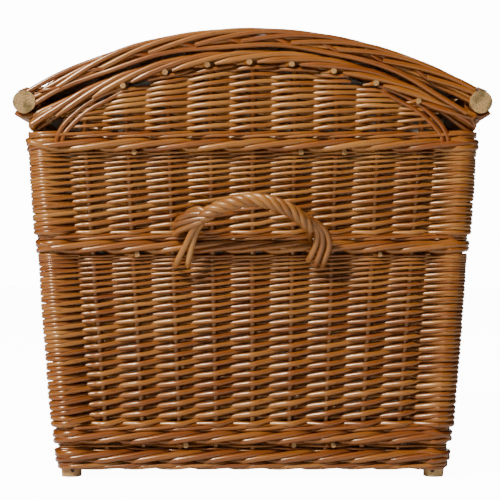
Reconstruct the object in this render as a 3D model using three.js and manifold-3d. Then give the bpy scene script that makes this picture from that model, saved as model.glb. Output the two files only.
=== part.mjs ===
// A large domed willow picnic chest: woven body on four corner posts, a barrel-vaulted lid that
// turns on its back stick, a roped handle on each end and a loop and staple at the front.
// Millimetres. +Z is up, the chest's length runs along Y, the front is at -X and the hinges at +X.
import * as THREE from 'three';
import { mergeVertices } from 'three/addons/utils/BufferGeometryUtils.js';
import Module from 'manifold-3d';

const wasm = await Module();
wasm.setup();

// Body: sizes are those at the rim, and everything below the rim narrows towards the floor
const rimZ = 332; // top of the top band
const rimHalfWidth = 214; // outer face of the siding, across the chest
const rimHalfLength = 305; // the same along the chest
const flare = 0.087; // how far a wall leans out for each millimetre of height
const gap = 0.3; // between pieces that touch
const sidingThickness = 8;
const bandProud = 2; // how far the bands stand out of the siding
const bands = { bottom_band: [10, 52], middle_band: [216, 235], top_band: [311, 332] };
const sidings = { lower: [52, 216], upper: [235, 311] };

// Posts, stakes and base
const postRadius = 13;
const postX = 199.5;
const postY = 290.5;
const stakeRadius = 3;
const stakePitch = 40;
const endStakes = 9;
const sideStakes = 13;
const stakeFootZ = 19;
const borderHeight = 10.7; // of the border rods along the front and back rims
const baseZ = [18.2, 28];
const baseStickRadius = 4.5;
const baseStickPitch = 70;
const baseSticks = 5;
const nail = { z: 7, headRadius: 2.2, headHeight: 1.6, shankRadius: 0.9, depth: 12 };
const lining = { thickness: 2, cornerRadius: 30, inset: 17, floorZ: 28.3, flapRadius: 345 };

// Arched ends of the body
const archCentreZ = 45.3;
const archOuterRadius = 364.2;
const archDepth = 13.5; // of the border rods over the arch
const archHalfWidth = 208;

// Lid
const lidCentreZ = 3;
const lidOuterRadius = 427;
const lidInnerRadius = 414;
const lidBorderRadius = 407.3; // underside of the borders at the lid's ends
const lidHalfLength = 310;
const lidWeaveHalfLength = 298;
const stickX = 216;
const stickZ = 359;
const stickRadius = 11;
const stickSides = 12;
const sleeveRadius = 13.5; // of the rods that turn round the lid's sticks
const lidStakes = 9;
const lidStakeRadius = 3.2;
const lidStakeArc = 410.2; // from the lid's centre line to the stakes' centres

// Fittings
const eyeRadii = { hole: 11.7, outer: 17.3 };
const eyeWidth = 14;
const eyeYs = [-190, 0, 190];
const eyeTail = { innerX: 216.6, outerX: 222, footZ: 304 };
const loop = { ringRadius: 15.7, ringWidth: 8, rodRadius: 3, offset: 14.7, tilt: 12, halfWidth: 18, reach: 48 };
const staple = { rodRadius: 3, outX: 230.3, topZ: 296, bottomZ: 276 };
const handleRadius = 8;
const notchSlack = 1.6; // between a fitting and the lid's weave beside it

const willow = new THREE.MeshStandardMaterial({ color: '#a9713c', roughness: 0.42, metalness: 0 });
const stake = new THREE.MeshStandardMaterial({ color: '#8a5a30', roughness: 0.5, metalness: 0 });
const stick = new THREE.MeshStandardMaterial({ color: '#b98b55', roughness: 0.5, metalness: 0 });
const rope = new THREE.MeshStandardMaterial({ color: '#bb8a50', roughness: 0.5, metalness: 0 });
const cloth = new THREE.MeshStandardMaterial({ color: '#e9e6e0', roughness: 0.9, metalness: 0 });
const iron = new THREE.MeshStandardMaterial({ color: '#2c2724', roughness: 0.6, metalness: 0.8 });

const chest = new THREE.Group();

function add(name, geometry, material) {
  const mesh = new THREE.Mesh(geometry, material);
  mesh.name = name;
  chest.add(mesh);
}

// Joining and cutting

function toSolid(geometry) {
  const bare = geometry.clone();
  bare.deleteAttribute('normal');
  bare.deleteAttribute('uv');
  const merged = mergeVertices(bare, 1e-4);
  return new wasm.Manifold(new wasm.Mesh({
    numProp: 3,
    vertProperties: new Float32Array(merged.attributes.position.array),
    triVerts: new Uint32Array(merged.index.array),
  }));
}

function toGeometry(solid) {
  const mesh = solid.getMesh();
  const geometry = new THREE.BufferGeometry();
  geometry.setAttribute('position', new THREE.BufferAttribute(mesh.vertProperties, 3));
  geometry.setIndex(new THREE.BufferAttribute(mesh.triVerts, 1));
  return geometry;
}

function join(geometries) {
  return toGeometry(geometries.map(toSolid).reduce((whole, part) => whole.add(part)));
}

function cut(geometry, tools) {
  const left = tools.map(toSolid).reduce((whole, tool) => whole.subtract(tool), toSolid(geometry));
  return toGeometry(left);
}

// Basic shapes

// Narrows a shape below the rim towards the floor, as the leaning walls do.
function lean(geometry) {
  const place = geometry.attributes.position;
  for (let i = 0; i < place.count; i += 1) {
    const fall = flare * Math.max(0, rimZ - place.getZ(i));
    place.setX(i, place.getX(i) * (1 - fall / rimHalfWidth));
    place.setY(i, place.getY(i) * (1 - fall / rimHalfLength));
  }
  return geometry;
}

function box(x, y, z) {
  const geometry = new THREE.BoxGeometry(x[1] - x[0], y[1] - y[0], z[1] - z[0]);
  return geometry.translate((x[0] + x[1]) / 2, (y[0] + y[1]) / 2, (z[0] + z[1]) / 2);
}

function upright(outline, z0, z1, curveSegments = 2) {
  const options = { depth: z1 - z0, bevelEnabled: false, curveSegments };
  return new THREE.ExtrudeGeometry(outline, options).translate(0, 0, z0);
}

// An outline drawn in X and Z, run along the chest from y0 to y1.
function lengthwise(outline, y0, y1, curveSegments = 10) {
  const options = { depth: y1 - y0, bevelEnabled: false, curveSegments };
  return new THREE.ExtrudeGeometry(outline, options).rotateX(Math.PI / 2).translate(0, y1, 0);
}

// A round bar along the chest.
function bar(x, z, radius, y0, y1, sides) {
  const geometry = new THREE.CylinderGeometry(radius, radius, y1 - y0, sides);
  return geometry.translate(x, (y0 + y1) / 2, z);
}

// A round rod along a smooth line. A full circle is drawn with twice its curve segments as sides.
function rod(points, radius, steps, sides = 8) {
  const path = new THREE.CatmullRomCurve3(points);
  const section = new THREE.Shape();
  section.absarc(0, 0, radius, 0, Math.PI * 2, false);
  return new THREE.ExtrudeGeometry(section, { extrudePath: path, steps, curveSegments: sides / 2 });
}

function roundedRectangle(halfWidth, halfLength, radius) {
  const outline = new THREE.Shape();
  const x = halfWidth - radius;
  const y = halfLength - radius;
  outline.absarc(x, -y, radius, -Math.PI / 2, 0, false);
  outline.absarc(x, y, radius, 0, Math.PI / 2, false);
  outline.absarc(-x, y, radius, Math.PI / 2, Math.PI, false);
  outline.absarc(-x, -y, radius, Math.PI, Math.PI * 1.5, false);
  return outline;
}

// The area between two arcs of one centre, ended by upright lines.
function arcBand(centreZ, inner, outer, halfWidth) {
  const outline = new THREE.Shape();
  const outerAngle = Math.acos(halfWidth / outer);
  const innerAngle = Math.acos(halfWidth / inner);
  outline.absarc(0, centreZ, outer, outerAngle, Math.PI - outerAngle, false);
  outline.absarc(0, centreZ, inner, Math.PI - innerAngle, innerAngle, true);
  return outline;
}

// The area under an arc and above a level.
function arcPanel(centreZ, radius, halfWidth, footZ) {
  const outline = new THREE.Shape();
  const angle = Math.acos(halfWidth / radius);
  outline.moveTo(halfWidth, footZ);
  outline.absarc(0, centreZ, radius, angle, Math.PI - angle, false);
  outline.lineTo(-halfWidth, footZ);
  return outline;
}

function postPrism(sideX, sideY, radius, z0, z1) {
  const geometry = new THREE.CylinderGeometry(radius, radius, z1 - z0, 8);
  geometry.rotateY(Math.PI / 8).rotateX(Math.PI / 2);
  return geometry.translate(sideX * postX, sideY * postY, (z0 + z1) / 2);
}

const corners = [['front', -1, 'near', -1], ['back', 1, 'near', -1], ['front', -1, 'far', 1], ['back', 1, 'far', 1]];

// Body

function makePosts() {
  for (const [widthName, sideX, lengthName, sideY] of corners) {
    const face = sideY * (postY + postRadius * Math.cos(Math.PI / 8));
    const pin = (radius, inside, outside) => {
      const shape = new THREE.CylinderGeometry(radius, radius, outside - inside, 8);
      return shape.translate(sideX * postX, face + sideY * (inside + outside) / 2, nail.z);
    };
    const hole = pin(nail.shankRadius + gap, -nail.depth - gap, 1);
    const post = cut(postPrism(sideX, sideY, postRadius, 0, rimZ - gap), [hole]);
    add(`post_${widthName}_${lengthName}`, lean(post), stick);
    const head = pin(nail.headRadius, gap, gap + nail.headHeight);
    const shank = pin(nail.shankRadius, -nail.depth, gap + nail.headHeight / 2);
    add(`foot_nail_${widthName}_${lengthName}`, lean(join([head, shank])), iron);
  }
}

function fatPosts(z0, z1) {
  return corners.map(([, sideX, , sideY]) => postPrism(sideX, sideY, postRadius + gap + 0.05, z0, z1));
}

function makeBase() {
  const inset = sidingThickness + 2 * stakeRadius + 3 * gap;
  const plan = roundedRectangle(rimHalfWidth - inset, rimHalfLength - inset, 8);
  const floor = cut(upright(plan, baseZ[0], baseZ[1]), fatPosts(0, rimZ));
  add('base_weave', lean(floor), willow);
  const z = baseZ[0] - gap - baseStickRadius;
  const halfLength = rimHalfLength - sidingThickness - gap;
  for (let i = 0; i < baseSticks; i += 1) {
    const x = (i - (baseSticks - 1) / 2) * baseStickPitch;
    add(`base_stick_${i + 1}`, lean(bar(x, z, baseStickRadius, -halfLength, halfLength, 8)), stick);
  }
}

function makeBands() {
  const out = bandProud;
  const inner = roundedRectangle(rimHalfWidth - sidingThickness, rimHalfLength - sidingThickness, 6.5);
  for (const [name, [z0, z1]] of Object.entries(bands)) {
    const outer = roundedRectangle(rimHalfWidth + out, rimHalfLength + out, rimHalfWidth + out - postX);
    outer.holes.push(inner);
    add(name, lean(cut(upright(outer, z0 + gap, z1), fatPosts(z0 - 5, z1 + 5))), willow);
  }
}

function makeSidings() {
  const clear = postRadius + 2 * gap;
  for (const [level, [z0, z1]] of Object.entries(sidings)) {
    for (const side of [-1, 1]) {
      const y = [side * rimHalfLength, side * (rimHalfLength - sidingThickness)].sort((a, b) => a - b);
      const end = box([clear - postX, postX - clear], y, [z0 + gap, z1]);
      add(`${level}_siding_${side < 0 ? 'near' : 'far'}_end`, lean(end), willow);
      const x = [side * rimHalfWidth, side * (rimHalfWidth - sidingThickness)].sort((a, b) => a - b);
      const wall = box(x, [clear - postY, postY - clear], [z0 + gap, z1]);
      add(`${level}_siding_${side < 0 ? 'front' : 'back'}`, lean(wall), willow);
    }
  }
}

function makeGables() {
  const halfWidth = postX - postRadius - 2 * gap;
  const outline = arcPanel(archCentreZ, archOuterRadius - archDepth - gap, halfWidth, rimZ + gap);
  const inside = rimHalfLength - sidingThickness;
  add('near_end_gable', lengthwise(outline, -rimHalfLength, -inside), willow);
  add('far_end_gable', lengthwise(outline, inside, rimHalfLength), willow);
}

// A stake that leans with the wall as far as the rim and stands straight above it.
function wallStake(x, y, topZ) {
  const levels = [stakeFootZ, rimZ, topZ];
  const geometry = new THREE.CylinderGeometry(stakeRadius, stakeRadius, 2, 6, 2).rotateX(Math.PI / 2);
  const place = geometry.attributes.position;
  for (let i = 0; i < place.count; i += 1) {
    place.setZ(i, levels[Math.round(place.getZ(i)) + 1]);
  }
  return lean(geometry.translate(x, y, 0));
}

// The stakes of an end wall, which turn over into the border of its arch.
function makeEndStakes() {
  const inner = archOuterRadius - archDepth;
  const footX = Math.sqrt(inner ** 2 - (rimZ + gap - archCentreZ) ** 2);
  const outline = new THREE.Shape();
  const outerAngle = Math.acos(archHalfWidth / archOuterRadius);
  const innerAngle = Math.acos(footX / inner);
  outline.moveTo(archHalfWidth, rimZ + gap);
  outline.absarc(0, archCentreZ, archOuterRadius, outerAngle, Math.PI - outerAngle, false);
  outline.lineTo(-archHalfWidth, rimZ + gap);
  outline.absarc(0, archCentreZ, inner, Math.PI - innerAngle, innerAngle, true);
  const centreY = rimHalfLength - sidingThickness - gap - stakeRadius;
  const borderY = [centreY - stakeRadius, rimHalfLength + bandProud];
  for (const side of [-1, 1]) {
    const ys = borderY.map((y) => side * y).sort((a, b) => a - b);
    const parts = [lengthwise(outline, ys[0], ys[1], 8)];
    for (let i = 0; i < endStakes; i += 1) {
      const x = (i - (endStakes - 1) / 2) * stakePitch;
      const topZ = archCentreZ + Math.sqrt(inner ** 2 - x ** 2) + 4;
      parts.push(wallStake(x, side * centreY, topZ));
    }
    add(`${side < 0 ? 'near' : 'far'}_end_stakes_and_arch_border`, join(parts), stake);
  }
}

// The stakes of the front and back walls, which turn down into the border along the rim.
function makeSideStakes() {
  const centreX = rimHalfWidth - sidingThickness - gap - stakeRadius;
  const borderX = [centreX - stakeRadius, rimHalfWidth - 2];
  const borderEnd = rimHalfLength - sidingThickness - 2 * stakeRadius - 2 * gap;
  for (const side of [-1, 1]) {
    const xs = borderX.map((x) => side * x).sort((a, b) => a - b);
    const parts = [box(xs, [-borderEnd, borderEnd], [rimZ + gap, rimZ + gap + borderHeight])];
    for (let i = 0; i < sideStakes; i += 1) {
      const y = (i - (sideStakes - 1) / 2) * stakePitch;
      parts.push(wallStake(side * centreX, y, rimZ + borderHeight / 2));
    }
    const whole = join(parts);
    const clear = eyeRadii.outer + gap;
    const eyeRoom = eyeYs.map((y) => {
      return bar(stickX, stickZ, clear, y - eyeWidth / 2 - gap, y + eyeWidth / 2 + gap, 24);
    });
    if (side < 0) add('front_stakes_and_border', whole, stake);
    else add('back_stakes_and_border', cut(whole, eyeRoom), stake);
  }
}

function makeLining() {
  const plan = (inset) => {
    const radius = lining.cornerRadius - inset;
    return roundedRectangle(rimHalfWidth - lining.inset - inset, rimHalfLength - lining.inset - inset, radius);
  };
  const outside = lean(upright(plan(0), lining.floorZ, rimZ - 1, 3));
  const inside = lean(upright(plan(lining.thickness), lining.floorZ + lining.thickness, rimZ, 3));
  const flap = arcPanel(archCentreZ, lining.flapRadius, 184, rimZ - 7);
  const flapY = rimHalfLength - lining.inset;
  const flaps = [-1, 1].map((side) => {
    const ys = [side * flapY, side * (flapY - lining.thickness)].sort((a, b) => a - b);
    return lengthwise(flap, ys[0], ys[1], 6);
  });
  add('cotton_lining', join([cut(outside, [inside]), ...flaps]), cloth);
}

// Lid

function makeLidSticks() {
  add('lid_front_stick', bar(-stickX, stickZ, stickRadius, -lidHalfLength, lidHalfLength, stickSides), stick);
  add('lid_back_stick', bar(stickX, stickZ, stickRadius, -lidHalfLength, lidHalfLength, stickSides), stick);
}

function makeLidWeave() {
  const vault = arcBand(lidCentreZ, lidInnerRadius, lidOuterRadius, stickX);
  const end = lidWeaveHalfLength;
  const sleeves = [-1, 1].map((side) => bar(side * stickX, stickZ, sleeveRadius, -end, end, 16));
  const sheet = join([lengthwise(vault, -end, end), ...sleeves]);
  const room = (x, y, radius, halfWidth) => bar(x, stickZ, radius, y - halfWidth, y + halfWidth, 16);
  const stickRoom = [-1, 1].map((side) => room(side * stickX, 0, stickRadius + gap + 0.05, lidHalfLength));
  const eyeRoom = eyeYs.map((y) => {
    return room(stickX, y, eyeRadii.outer + notchSlack, eyeWidth / 2 + notchSlack);
  });
  const loopRoom = [-1, 1].map((side) => {
    const radius = loop.offset + loop.rodRadius + notchSlack;
    return room(-stickX, side * loop.halfWidth, radius, loop.ringWidth / 2 + notchSlack);
  });
  add('lid_weave', cut(sheet, [...stickRoom, ...eyeRoom, ...loopRoom]), willow);
}

function makeLidStakes() {
  const stickAngle = Math.atan2(stickX, stickZ - lidCentreZ);
  const step = (2 * stickAngle) / (lidStakes + 1);
  for (let i = 0; i < lidStakes; i += 1) {
    const angle = (i - (lidStakes - 1) / 2) * step;
    const x = lidStakeArc * Math.sin(angle);
    const z = lidCentreZ + lidStakeArc * Math.cos(angle);
    const length = lidWeaveHalfLength;
    add(`lid_stake_${i + 1}`, bar(x, z, lidStakeRadius, -length, length, 6), stake);
  }
}

function makeLidBorders() {
  const outline = arcBand(lidCentreZ, lidBorderRadius, lidOuterRadius, stickX - 9);
  const stickRoom = [-1, 1].map((side) => {
    return bar(side * stickX, stickZ, stickRadius + gap + 0.05, -2 * lidHalfLength, 2 * lidHalfLength, stickSides);
  });
  const inner = lidWeaveHalfLength + gap;
  const near = lengthwise(outline, -lidHalfLength, -inner);
  const far = lengthwise(outline, inner, lidHalfLength);
  add('lid_near_end_border', cut(near, stickRoom), willow);
  add('lid_far_end_border', cut(far, stickRoom), willow);
}

// Fittings

// Twisted willow loops through the top band, in which the lid's back stick turns.
function makeHingeEyes() {
  eyeYs.forEach((y, i) => {
    const y0 = y - eyeWidth / 2;
    const y1 = y + eyeWidth / 2;
    const ring = bar(stickX, stickZ, eyeRadii.outer, y0, y1, 24);
    const tail = box([eyeTail.innerX, eyeTail.outerX], [y0, y1], [eyeTail.footZ, stickZ - 12]);
    const hole = bar(stickX, stickZ, eyeRadii.hole, y0 - 1, y1 + 1, 24);
    add(`hinge_eye_${i + 1}`, cut(join([ring, tail]), [hole]), rope);
  });
}

// A loop that hangs on the lid's front stick, to lift the lid by and to tie it down with.
function makeLidLoop() {
  const tilt = THREE.MathUtils.degToRad(loop.tilt);
  const at = (along, y) => new THREE.Vector3(
    -stickX - loop.offset * Math.cos(tilt) + along * Math.sin(tilt),
    y,
    stickZ - loop.offset * Math.sin(tilt) - along * Math.cos(tilt),
  );
  const half = [[0, 1], [0.42, 1], [0.8, 0.84], [0.96, 0.45]];
  const left = half.map(([along, across]) => at(along * loop.reach, -across * loop.halfWidth));
  const right = half.map(([along, across]) => at(along * loop.reach, across * loop.halfWidth)).reverse();
  const bow = rod([...left, at(loop.reach, 0), ...right], loop.rodRadius, 24);
  const ring = (radius, halfWidth) => [-1, 1].map((side) => {
    const y = side * loop.halfWidth;
    return bar(-stickX, stickZ, radius, y - halfWidth, y + halfWidth, 24);
  });
  const whole = join([bow, ...ring(loop.ringRadius, loop.ringWidth / 2)]);
  add('lid_loop', cut(whole, ring(eyeRadii.hole, loop.ringWidth)), rope);
}

function makeStaple() {
  const outerFace = (z) => rimHalfWidth - flare * (rimZ - z) + gap * 2;
  const { topZ, bottomZ, outX } = staple;
  const round = (topZ - bottomZ) / 2;
  const middleZ = (topZ + bottomZ) / 2;
  const points = [[outerFace(topZ), topZ], [outX - round, topZ], [outX - 3, topZ - 4], [outX, middleZ]];
  points.push([outX - 3, bottomZ + 4], [outX - round, bottomZ], [outerFace(bottomZ), bottomZ]);
  const path = points.map(([x, z]) => new THREE.Vector3(-x, 0, z));
  add('front_staple', rod(path, staple.rodRadius, 20), rope);
}

// A roped handle laced round the middle band. Its places are across the end, up, and out of the wall.
function makeHandles() {
  const bandFace = (z) => rimHalfLength + bandProud - flare * (rimZ - z);
  const route = [
    [-64, 212, 8.8], [-60, 230, 11], [-50, 245, 18], [-35, 255.5, 25], [-12, 262.7, 30],
    [9, 263.6, 31], [31, 256.5, 27], [48, 245.5, 20], [60, 231, 12], [66, 214, 8.8],
  ];
  for (const side of [-1, 1]) {
    const points = route.map(([x, z, out]) => new THREE.Vector3(-side * x, side * (bandFace(z) + out), z));
    add(`${side < 0 ? 'near' : 'far'}_end_handle`, rod(points, handleRadius, 30, 10), rope);
  }
}

makePosts();
makeBase();
makeBands();
makeSidings();
makeGables();
makeEndStakes();
makeSideStakes();
makeLining();
makeLidSticks();
makeLidWeave();
makeLidStakes();
makeLidBorders();
makeHingeEyes();
makeLidLoop();
makeStaple();
makeHandles();

export default chest;
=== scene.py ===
import bpy, bmesh, math, random
import numpy as np
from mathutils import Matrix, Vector, noise


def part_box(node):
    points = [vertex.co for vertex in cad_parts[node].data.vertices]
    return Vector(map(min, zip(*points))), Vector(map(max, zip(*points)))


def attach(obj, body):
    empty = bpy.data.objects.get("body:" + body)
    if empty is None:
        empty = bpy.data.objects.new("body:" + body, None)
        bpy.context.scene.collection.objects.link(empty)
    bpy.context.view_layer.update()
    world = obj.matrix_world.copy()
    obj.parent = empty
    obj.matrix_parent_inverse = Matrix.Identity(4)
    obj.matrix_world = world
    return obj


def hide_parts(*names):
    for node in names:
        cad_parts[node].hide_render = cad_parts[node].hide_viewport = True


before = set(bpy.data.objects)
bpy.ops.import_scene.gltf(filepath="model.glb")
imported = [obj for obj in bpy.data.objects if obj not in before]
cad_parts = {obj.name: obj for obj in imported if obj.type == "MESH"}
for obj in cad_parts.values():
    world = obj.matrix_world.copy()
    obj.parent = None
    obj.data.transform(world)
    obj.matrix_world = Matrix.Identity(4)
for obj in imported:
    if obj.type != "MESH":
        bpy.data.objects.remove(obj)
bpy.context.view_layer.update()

# Willow picnic chest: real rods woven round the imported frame. Metres, +Z up, front at -X.

mm = 0.001


# places taken from the frame

topLow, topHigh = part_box("top_band")
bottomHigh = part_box("bottom_band")[1]
rimZ = topHigh[2]
wallFall = rimZ - bottomHigh[2]
leanX = (1 - bottomHigh[0] / topHigh[0]) / wallFall  # share by which the walls come in per metre down
leanY = (1 - bottomHigh[1] / topHigh[1]) / wallFall
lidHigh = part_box("lid_weave")[1]
frontStickLow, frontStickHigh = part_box("lid_front_stick")
backStickLow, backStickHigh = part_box("lid_back_stick")
stickX = (backStickLow[0] + backStickHigh[0]) / 2
stickZ = (frontStickLow[2] + frontStickHigh[2]) / 2
stickRadius = (frontStickHigh[2] - frontStickLow[2]) / 2

# camera, lights and floor

view = {"distance": 1.78, "lookX": -0.0024, "lookZ": 0.219, "widthAtNearEnd": 0.473, "sensor": 36.0}


def placeCamera():
    camera = bpy.data.cameras.new("camera")
    camera.sensor_width = view["sensor"]
    camera.lens = view["sensor"] * view["distance"] / view["widthAtNearEnd"]
    camera.clip_end = 30
    viewer = bpy.data.objects.new("camera", camera)
    viewer.location = (view["lookX"], topLow[1] - view["distance"], view["lookZ"])
    viewer.rotation_euler = (math.radians(90), 0, 0)
    bpy.context.scene.collection.objects.link(viewer)
    bpy.context.scene.camera = viewer


studio = {
    "key": 272, "fill": 2.5, "top": 7, "back": 40, "keyTint": (1, 0.955, 0.88),
    "sky": 0.035, "background": 14, "floorGlow": 12.4,
    "floor": (0.7, 0.7, 0.695), "paper": (1, 0.997, 0.99, 1),
}


def areaLight(name, place, aim, size, power, tint=(1, 1, 1)):
    light = bpy.data.lights.new(name, "AREA")
    light.size = size
    light.energy = power
    light.color = tint
    lamp = bpy.data.objects.new(name, light)
    lamp.location = place
    lamp.rotation_euler = (Vector(aim) - Vector(place)).to_track_quat("-Z", "Y").to_euler()
    bpy.context.scene.collection.objects.link(lamp)


def lightStudio():
    areaLight("keyLight", (-1.75, -2.1, 2.45), (0, -0.2, 0.22), 0.6, studio["key"], studio["keyTint"])
    areaLight("fillLight", (2.4, -2.2, 0.9), (0, 0, 0.2), 2.0, studio["fill"])
    areaLight("topLight", (0.1, -0.3, 2.4), (0, 0, 0.2), 1.6, studio["top"])
    areaLight("backLight", (0.6, 2.6, 2.0), (0, 0, 0.2), 2.2, studio["back"])
    world = bpy.data.worlds.new("softRoom")
    world.use_nodes = True
    tree = world.node_tree
    seen = tree.nodes.new("ShaderNodeLightPath")
    level = tree.nodes.new("ShaderNodeMapRange")
    level.inputs["To Min"].default_value = studio["sky"]
    level.inputs["To Max"].default_value = studio["background"]
    tree.links.new(seen.outputs["Is Camera Ray"], level.inputs["Value"])
    tree.links.new(level.outputs[0], tree.nodes["Background"].inputs[1])
    tree.nodes["Background"].inputs[0].default_value = studio["paper"]
    bpy.context.scene.world = world


def layFloor():
    mesh = bpy.data.meshes.new("floor")
    form = bmesh.new()
    bmesh.ops.create_grid(form, x_segments=2, y_segments=2, size=9)
    form.to_mesh(mesh)
    form.free()
    floor = bpy.data.objects.new("floor", mesh)
    paint = bpy.data.materials.new("paleFloor")
    paint.use_nodes = True
    surface = paint.node_tree.nodes["Principled BSDF"]
    surface.inputs["Base Color"].default_value = (*studio["floor"], 1)
    surface.inputs["Roughness"].default_value = 0.85
    # the floor looks bright to the camera, but throws no light of its own up at the chest
    seen = paint.node_tree.nodes.new("ShaderNodeLightPath")
    glow = paint.node_tree.nodes.new("ShaderNodeMath")
    glow.operation = "MULTIPLY"
    glow.inputs[1].default_value = studio["floorGlow"]
    paint.node_tree.links.new(seen.outputs["Is Camera Ray"], glow.inputs[0])
    paint.node_tree.links.new(glow.outputs[0], surface.inputs["Emission Strength"])
    surface.inputs["Emission Color"].default_value = studio["paper"]
    mesh.materials.append(paint)
    bpy.context.scene.collection.objects.link(floor)


placeCamera()
lightStudio()
layFloor()
print("camera, lights and floor are in place")

# willow, cut wood, cotton and iron


def nodeKit(name):
    paint = bpy.data.materials.new(name)
    paint.use_nodes = True
    tree = paint.node_tree
    surface = tree.nodes["Principled BSDF"]

    def node(kind, sockets={}, **values):
        made = tree.nodes.new(kind)
        for key, value in values.items():
            setattr(made, key, value)
        for socket, value in sockets.items():
            made.inputs[socket].default_value = value
        return made

    def link(a, out, b, into):
        tree.links.new(a.outputs[out], b.inputs[into])

    return paint, surface, node, link


def rampOf(node, stops):
    ramp = node("ShaderNodeValToRGB")
    while len(ramp.color_ramp.elements) < len(stops):
        ramp.color_ramp.elements.new(0.5)
    for element, (place, colour) in zip(ramp.color_ramp.elements, stops):
        element.position = place
        element.color = (*colour, 1)
    return ramp


willowLook = {
    "tones": [(0.0, (0.10, 0.018, 0.0015)), (0.35, (0.165, 0.043, 0.0045)), (0.7, (0.225, 0.075, 0.010)),
              (1.0, (0.30, 0.125, 0.026))],
    "streaks": 0.55, "roughness": (0.2, 0.42), "flecks": 0.55, "coat": 0.22,
}
stickLook = {
    "tones": [(0.0, (0.15, 0.055, 0.015)), (0.4, (0.235, 0.10, 0.03)), (0.75, (0.32, 0.165, 0.06)),
              (1.0, (0.45, 0.30, 0.125))],
    "streaks": 0.7, "roughness": (0.32, 0.6), "flecks": 0.5, "coat": 0.2,
}
ropeLook = {
    "tones": [(0.0, (0.12, 0.034, 0.005)), (0.35, (0.185, 0.062, 0.010)), (0.7, (0.26, 0.105, 0.021)),
              (1.0, (0.36, 0.175, 0.046))],
    "streaks": 0.85, "roughness": (0.3, 0.56), "flecks": 0.45, "coat": 0.22,
}
woodGrain = {
    "patchScale": 17, "patchShare": 1.3, "toneGain": 0.6, "toneShift": -0.15,
    "fibreScale": (900, 900, 26), "fibreRelief": 0.35, "fibreHeight": 0.4 * mm,
    "fibres": [(0.3, (0.42, 0.36, 0.30)), (0.5, (0.9, 0.88, 0.86)), (0.72, (1.16, 1.13, 1.06))],
    "knotScale": (160, 160, 52), "knots": [(0.05, (0.22, 0.13, 0.08)), (0.16, (1, 1, 1))],
    "poreScale": 900,
    "pores": [(0.36, (0.10, 0.055, 0.022)), (0.48, (0.27, 0.18, 0.08)), (0.68, (0.42, 0.30, 0.15))],
    "weatherScale": 75,
    "weather": [(0.38, (0.34, 0.36, 0.30)), (0.5, (0.95, 0.92, 0.88)), (0.64, (1.1, 1.0, 0.86))],
    "sawnRoughness": 0.5,
}
varnish = {
    "Coat Roughness": 0.2, "Coat Tint": (1, 0.86, 0.66, 1),
    "Specular IOR Level": 0.8, "Specular Tint": (1, 0.8, 0.56, 1),
}


def willowPaint(name, look):
    paint, surface, node, link = nodeKit(name)
    wood = woodGrain
    tone = node("ShaderNodeAttribute", attribute_name="tone")
    grain = node("ShaderNodeAttribute", attribute_name="grain")
    cut = node("ShaderNodeAttribute", attribute_name="cutFace")
    place = node("ShaderNodeTexCoord")

    def noiseRamp(source, out, stops, **sockets):
        cloud = node("ShaderNodeTexNoise", sockets)
        link(source, out, cloud, "Vector")
        ramp = rampOf(node, stops)
        link(cloud, "Fac", ramp, 0)
        return cloud, ramp

    def multiplied(below, belowOut, above, share):
        mixed = node("ShaderNodeMix", {0: share}, data_type="RGBA", blend_type="MULTIPLY")
        link(below, belowOut, mixed, 6)
        link(above, 0, mixed, 7)
        return mixed

    # each rod's own tone, a little patchy
    patches = node("ShaderNodeTexNoise", {"Scale": wood["patchScale"], "Detail": 3})
    link(place, "Object", patches, "Vector")
    toneSum = node("ShaderNodeMath", {1: wood["patchShare"]}, operation="MULTIPLY_ADD")
    link(patches, "Fac", toneSum, 0)
    link(tone, "Fac", toneSum, 2)
    shift = {1: wood["toneGain"], 2: wood["toneShift"]}
    toneShift = node("ShaderNodeMath", shift, operation="MULTIPLY_ADD", use_clamp=True)
    link(toneSum, 0, toneShift, 0)
    base = rampOf(node, look["tones"])
    link(toneShift, 0, base, 0)
    # long fibres under the varnish
    stretch = node("ShaderNodeMapping", {"Scale": wood["fibreScale"]})
    link(grain, "Vector", stretch, "Vector")
    fibres, fibreRamp = noiseRamp(stretch, "Vector", wood["fibres"], Scale=1, Detail=4, Roughness=0.62)
    streaked = multiplied(base, 0, fibreRamp, look["streaks"])
    # small dark knots and nicks in the bark's place
    knotPlace = node("ShaderNodeMapping", {"Scale": wood["knotScale"]})
    link(grain, "Vector", knotPlace, "Vector")
    knots = node("ShaderNodeTexVoronoi", {"Scale": 1})
    link(knotPlace, "Vector", knots, "Vector")
    knotRamp = rampOf(node, wood["knots"])
    link(knots, "Distance", knotRamp, 0)
    knotted = multiplied(streaked, 2, knotRamp, look["flecks"])
    # sawn faces: pale, with dark pores
    poreRamp = noiseRamp(place, "Object", wood["pores"], Scale=wood["poreScale"], Detail=3)[1]
    weatherRamp = noiseRamp(place, "Object", wood["weather"], Scale=wood["weatherScale"], Detail=4)[1]
    sawn = multiplied(poreRamp, 0, weatherRamp, 1)
    finished = node("ShaderNodeMix", data_type="RGBA")
    link(cut, "Fac", finished, 0)
    link(knotted, 2, finished, 6)
    link(sawn, 2, finished, 7)
    link(finished, 2, surface, "Base Color")
    smooth, dull = look["roughness"]
    gloss = node("ShaderNodeMapRange", {"To Min": smooth, "To Max": dull})
    link(fibres, "Fac", gloss, "Value")
    rough = node("ShaderNodeMath", {1: wood["sawnRoughness"]}, operation="MULTIPLY_ADD", use_clamp=True)
    link(cut, "Fac", rough, 0)
    link(gloss, 0, rough, 2)
    link(rough, 0, surface, "Roughness")
    ripple = node("ShaderNodeBump", {"Strength": wood["fibreRelief"], "Distance": wood["fibreHeight"]})
    link(fibres, "Fac", ripple, "Height")
    link(ripple, 0, surface, "Normal")
    surface.inputs["Coat Weight"].default_value = look["coat"]
    for socket, value in varnish.items():
        surface.inputs[socket].default_value = value
    return paint


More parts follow.
